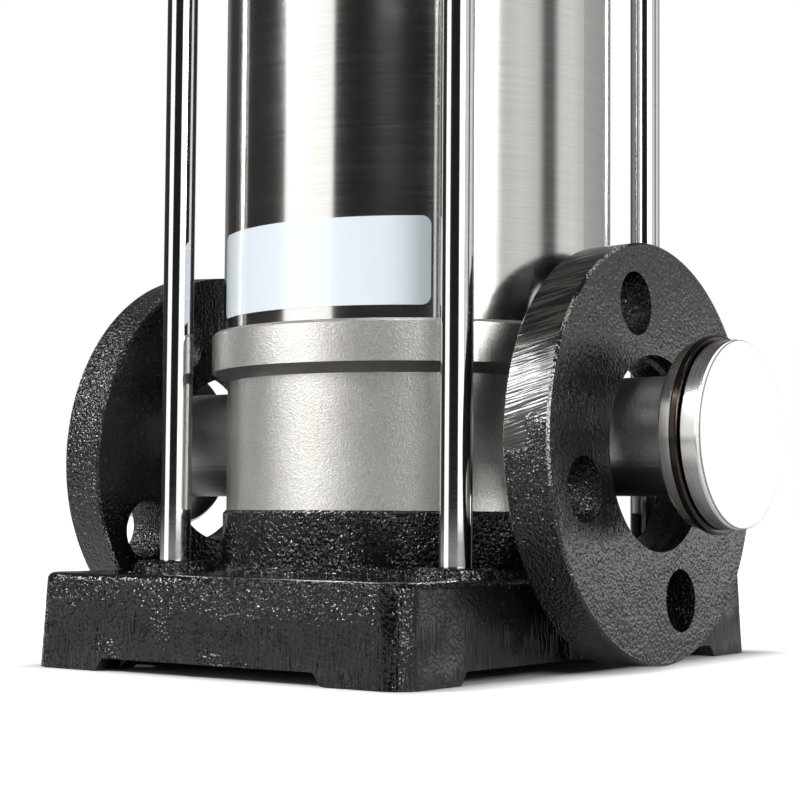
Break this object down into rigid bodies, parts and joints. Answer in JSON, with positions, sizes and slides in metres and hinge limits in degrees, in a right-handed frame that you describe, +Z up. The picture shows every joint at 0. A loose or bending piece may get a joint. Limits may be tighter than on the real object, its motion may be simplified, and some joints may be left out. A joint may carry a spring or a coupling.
{
  "type": "vertical multistage pump",
  "caption": "Vertical multistage in-line pump: ribbed base, cast stainless casing with loose port flanges, staybolted sleeve, stage stack, bracket and finned motor.",
  "frame": {"origin": "middle of the base plate's underside, below the shaft axis", "axes": "+Z up along the shaft axis, +X along the port axis towards the outlet, -Y towards the terminal box"},
  "size_m": [0.2558, 0.243, 0.662],
  "materials": {
    "black_casting": "gloss black paint over a sand-cast skin",
    "flange_casting": "black paint with fine pits",
    "blasted_stainless": "blasted cast stainless steel",
    "turned_stainless": "fine turned stainless steel",
    "sleeve_stainless": "smooth drawn stainless tube with a fine grain",
    "polished_bolt": "polished plated steel",
    "sheet_stainless": "pressed stainless sheet",
    "plated_steel": "zinc plated steel",
    "spring_steel": "oiled spring steel, dark brown",
    "seal_rubber": "moulded black rubber",
    "seal_face": "lapped carbide face",
    "white_plastic": "smooth white plastic",
    "motor_aluminium": "dark paint on cast aluminium",
    "cowl_steel": "dark paint on pressed sheet",
    "black_plastic": "moulded black plastic",
    "core_steel": "stacked core sheet",
    "winding_copper": "varnished copper wire"
  },
  "bodies": {
    "pump": {"base_plate": "black_casting", "inlet_outlet_casing": "blasted_stainless", "nozzle_ferrules": "turned_stainless", "retaining_rings": "spring_steel", "drain_plug": "turned_stainless", "outer_sleeve": "sleeve_stainless", "sleeve_o_rings": "seal_rubber", "staybolts": "polished_bolt", "staybolt_washers": "plated_steel", "staybolt_nuts": "plated_steel", "inlet_guide": "sheet_stainless", "chamber_1": "sheet_stainless", "chamber_2": "sheet_stainless", "chamber_3": "sheet_stainless", "chamber_4": "sheet_stainless", "chamber_5": "sheet_stainless", "chamber_6": "sheet_stainless", "outlet_guide": "sheet_stainless", "clamping_straps": "sheet_stainless", "shaft_bushes": "seal_face", "pump_head": "blasted_stainless", "priming_plug": "turned_stainless", "vent_plug": "turned_stainless", "seal_cartridge": "turned_stainless", "seal_seat_ring": "seal_face", "motor_bracket": "black_casting", "coupling_guard_front": "sheet_stainless", "coupling_guard_rear": "sheet_stainless", "motor_screws": "plated_steel", "motor_flange_shield": "motor_aluminium", "motor_frame": "motor_aluminium", "stator_core": "core_steel", "stator_windings": "winding_copper", "motor_rear_shield": "motor_aluminium", "bearing_outer_rings": "turned_stainless", "fan_cowl": "cowl_steel", "terminal_box": "black_plastic", "terminal_box_lid": "black_plastic", "cable_gland": "black_plastic"},
    "rotor": {"pump_shaft": "turned_stainless", "impeller_1": "sheet_stainless", "impeller_2": "sheet_stainless", "impeller_3": "sheet_stainless", "impeller_4": "sheet_stainless", "impeller_5": "sheet_stainless", "impeller_6": "sheet_stainless", "impeller_spacers": "turned_stainless", "shaft_seal_head": "seal_face", "coupling_half_a": "core_steel", "coupling_half_b": "core_steel", "coupling_screws": "plated_steel", "motor_shaft": "turned_stainless", "rotor_core": "core_steel", "bearing_inner_rings": "turned_stainless", "bearing_balls": "turned_stainless", "cooling_fan": "black_plastic"},
    "inlet_flange": {"inlet_flange": "flange_casting"},
    "outlet_flange": {"outlet_flange": "flange_casting"},
    "inlet_cover": {"inlet_port_cover": "white_plastic"},
    "outlet_cover": {"outlet_port_cover": "white_plastic"}
  },
  "joints": [
    {"name": "rotor_spin", "type": "hinge", "parent": "pump", "child": "rotor", "pos_m": [0, 0, 0.4], "axis": [0, 0, 1], "continuous": true},
    {"name": "inlet_flange_spin", "type": "hinge", "parent": "pump", "child": "inlet_flange", "pos_m": [-0.106, 0, 0.0725], "axis": [-0.9989, 0, 0.0471], "continuous": true},
    {"name": "outlet_flange_spin", "type": "hinge", "parent": "pump", "child": "outlet_flange", "pos_m": [0.0975, 0, 0.0714], "axis": [0.9995, 0, 0.0314], "continuous": true},
    {"name": "inlet_cover_pull", "type": "slide", "parent": "pump", "child": "inlet_cover", "axis": [-1, 0, 0], "range_m": [0, 0.06]},
    {"name": "outlet_cover_pull", "type": "slide", "parent": "pump", "child": "outlet_cover", "axis": [1, 0, 0], "range_m": [0, 0.06]}
  ]
}
